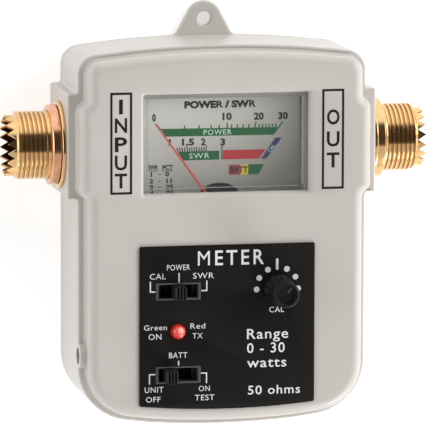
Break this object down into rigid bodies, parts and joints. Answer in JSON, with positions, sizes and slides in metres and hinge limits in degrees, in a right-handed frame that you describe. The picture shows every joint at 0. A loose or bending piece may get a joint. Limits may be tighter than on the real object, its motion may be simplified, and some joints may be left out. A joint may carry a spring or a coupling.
{
  "type": "antenna tester",
  "caption": "Hand-held radio antenna tester: grey case with hang tab, pointer meter, control panel with slide switches and knob, and a threaded coaxial socket on each side.",
  "frame": {"origin": "middle of the bottom of the bounding box: the tester lies on its back and its rear face is at z = 0", "axes": "+X to the right as the dial is read, towards the antenna socket; +Y towards the hang tab; +Z out of the front face"},
  "size_m": [0.0988, 0.0968, 0.04],
  "materials": {
    "case": "smooth satin",
    "panel": "satin black film",
    "black_plastic": "satin",
    "gold": "gold-plated, polished",
    "steel": "plated",
    "nickel": "bright nickel plate",
    "copper": "bare copper",
    "board": "solder-resist coat",
    "dial": "matt print",
    "needle": "matt red",
    "lamp": "diffused red lens",
    "clear": "clear moulded plastic",
    "insulator": "white",
    "magnet": "sintered",
    "battery": "printed jacket",
    "red_lead": "insulated wire",
    "black_lead": "insulated wire"
  },
  "bodies": {
    "case": {"case_front": "case", "case_back": "case", "control_panel": "panel", "case_screw_1": "steel", "case_screw_2": "steel", "case_screw_3": "steel", "case_screw_4": "steel", "side_jack": "black_plastic", "meter_window": "clear", "meter_case": "black_plastic", "dial_plate": "dial", "hairspring": "nickel", "meter_core": "magnet", "meter_yoke": "steel", "bearing_bridge": "nickel", "meter_screw_1": "steel", "meter_screw_2": "steel", "circuit_board": "board", "mode_switch_body": "steel", "power_switch_body": "steel", "set_pot_body": "steel", "status_lamp": "lamp", "board_screw_1": "steel", "board_screw_2": "steel", "board_screw_3": "steel", "board_screw_4": "steel", "battery": "battery", "battery_snap": "black_plastic", "battery_lead_plus": "red_lead", "battery_lead_minus": "black_lead", "meter_lead_plus": "red_lead", "meter_lead_minus": "black_lead", "coupler_board": "board", "through_line": "copper", "sense_lead_forward": "red_lead", "sense_lead_reflected": "black_lead", "coupler_screw_1": "steel", "coupler_screw_2": "steel", "radio_socket_body": "gold", "radio_socket_insulator": "insulator", "radio_socket_contact": "gold", "radio_socket_washer": "gold", "radio_socket_nut": "gold", "antenna_socket_body": "gold", "antenna_socket_insulator": "insulator", "antenna_socket_contact": "gold", "antenna_socket_washer": "gold", "antenna_socket_nut": "gold"},
    "knob": {"set_knob": "black_plastic", "set_pot_shaft": "nickel"},
    "mode": {"mode_slider": "black_plastic"},
    "power": {"power_slider": "black_plastic"},
    "pointer": {"needle": "needle", "pivot_staff": "steel", "moving_coil": "copper"},
    "door": {"battery_door": "case"}
  },
  "joints": [
    {"name": "knob_turn", "type": "hinge", "parent": "case", "child": "knob", "pos_m": [0.0119, -0.01597, 0.03], "axis": [0, 0, 1], "range_deg": [-140, 140]},
    {"name": "mode_slide", "type": "slide", "parent": "case", "child": "mode", "axis": [1, 0, 0], "range_m": [-0.002, 0.002]},
    {"name": "power_slide", "type": "slide", "parent": "case", "child": "power", "axis": [1, 0, 0], "range_m": [0, 0.004]},
    {"name": "needle_swing", "type": "hinge", "parent": "case", "child": "pointer", "pos_m": [-0.0006, 0.00133, 0.02445], "axis": [0, 0, 1], "range_deg": [-71, 0], "stiffness_Nm_per_rad": 0.00002},
    {"name": "door_slide", "type": "slide", "parent": "case", "child": "door", "axis": [0, -1, 0], "range_m": [0, 0.034]}
  ]
}
